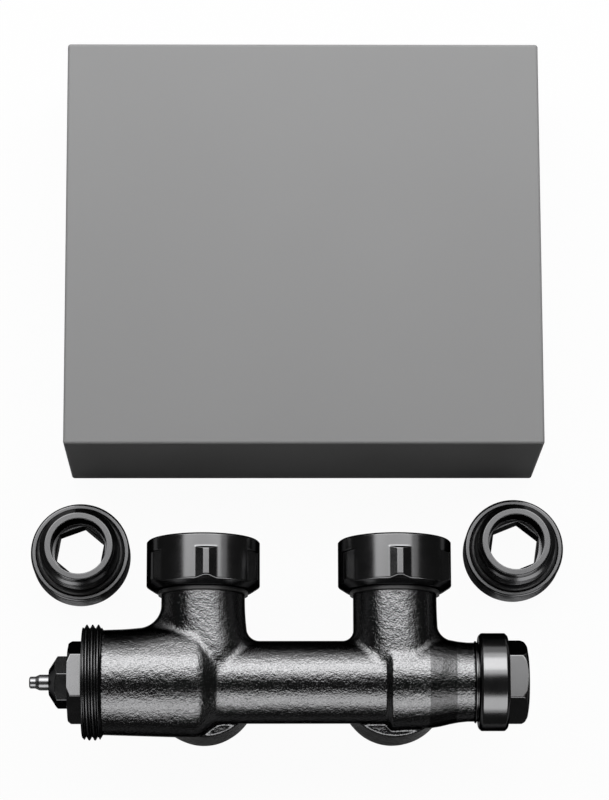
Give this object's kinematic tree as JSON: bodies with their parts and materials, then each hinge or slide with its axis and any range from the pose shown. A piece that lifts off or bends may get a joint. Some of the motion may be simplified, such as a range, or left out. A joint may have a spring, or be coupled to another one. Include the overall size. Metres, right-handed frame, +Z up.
{
  "type": "radiator h-block valve",
  "caption": "Cast H-shaped valve block with thermostatic insert, union nuts, shut-off cap, wall stubs, threaded nipples and a box-shaped design cover.",
  "frame": {"origin": "on the table under the middle of the whole kit, which lies on its back", "axes": "+X along the block from the thermostatic insert to the closing cap, +Y from the block through the union nuts to the cover, +Z up, from the wall side to the front"},
  "size_m": [0.1424, 0.1834, 0.0452],
  "materials": {
    "casting": "hot-pressed brass with a dark nickel coat, grainy satin skin",
    "machined": "turned brass with a dark nickel coat, smooth",
    "steel": "drawn stainless steel",
    "seal": "black sealing rubber",
    "ring_plastic": "black plastic",
    "cover": "moulded plastic, satin silver-grey"
  },
  "bodies": {
    "valve_block": {"valve_body": "casting", "insert_housing": "machined", "insert_housing_seal": "seal", "guide_plate": "machined", "preset_cage": "ring_plastic", "gland_nut": "machined", "gland_seal": "seal", "return_spring": "steel", "bypass_plug": "machined", "bypass_plug_seal": "seal", "return_housing": "machined", "return_housing_seal": "seal", "wire_rings": "steel", "nut_stop_rings": "ring_plastic", "branch_seals": "seal"},
    "stem": {"stem_pin": "steel", "stem_spindle": "machined", "disc_carrier": "machined", "disc_seal": "seal", "disc_nut": "machined"},
    "flow_nut": {"union_nut_flow": "machined"},
    "return_nut": {"union_nut_return": "machined"},
    "gasket": {"cap_gasket": "seal"},
    "cap": {"closing_cap": "machined"},
    "cone": {"shutoff_cone": "machined", "shutoff_seal": "seal"},
    "spindle": {"shutoff_spindle": "machined", "shutoff_spindle_seal": "seal"},
    "cover": {"cover_shell": "cover", "cover_clips": "cover"},
    "left_nipple": {"nipple_left": "machined", "nipple_left_seal": "seal"},
    "right_nipple": {"nipple_right": "machined", "nipple_right_seal": "seal"}
  },
  "joints": [
    {"name": "stem_push", "type": "slide", "parent": "valve_block", "child": "stem", "axis": [1, 0, 0], "range_m": [0, 0.0022], "stiffness_N_per_m": 2000, "springref_m": -0.005, "deforming": ["return_spring"]},
    {"name": "flow_nut_spin", "type": "hinge", "parent": "valve_block", "child": "flow_nut", "pos_m": [-0.0248, -0.0767, 0.029], "axis": [0, 1, 0], "continuous": true},
    {"name": "return_nut_spin", "type": "hinge", "parent": "valve_block", "child": "return_nut", "pos_m": [0.0252, -0.0767, 0.029], "axis": [0, 1, 0], "continuous": true},
    {"name": "cap_travel", "type": "slide", "parent": "valve_block", "child": "gasket", "axis": [1, 0, 0], "range_m": [0, 0.0046]},
    {"name": "cap_turn", "type": "hinge", "parent": "gasket", "child": "cap", "pos_m": [0.0002, -0.0767, 0.029], "axis": [1, 0, 0], "range_deg": [0, 1080]},
    {"name": "shutoff_travel", "type": "slide", "parent": "valve_block", "child": "cone", "axis": [-1, 0, 0], "range_m": [0, 0.00241]},
    {"name": "shutoff_turn", "type": "hinge", "parent": "cone", "child": "spindle", "pos_m": [0.0002, -0.0767, 0.029], "axis": [-1, 0, 0], "range_deg": [0, 864]},
    {"name": "cover_lift", "type": "slide", "parent": "valve_block", "child": "cover", "axis": [0, 0, 1], "range_m": [0, 0.12]},
    {"name": "left_nipple_lift", "type": "slide", "parent": "valve_block", "child": "left_nipple", "axis": [0, 0, 1], "range_m": [0, 0.08]},
    {"name": "right_nipple_lift", "type": "slide", "parent": "valve_block", "child": "right_nipple", "axis": [0, 0, 1], "range_m": [0, 0.08]}
  ],
  "couplings": [
    {"joint": "cap_travel", "follows": "cap_turn", "m_per_rad": 0.00023873},
    {"joint": "shutoff_travel", "follows": "shutoff_turn", "m_per_rad": 0.00015915}
  ]
}
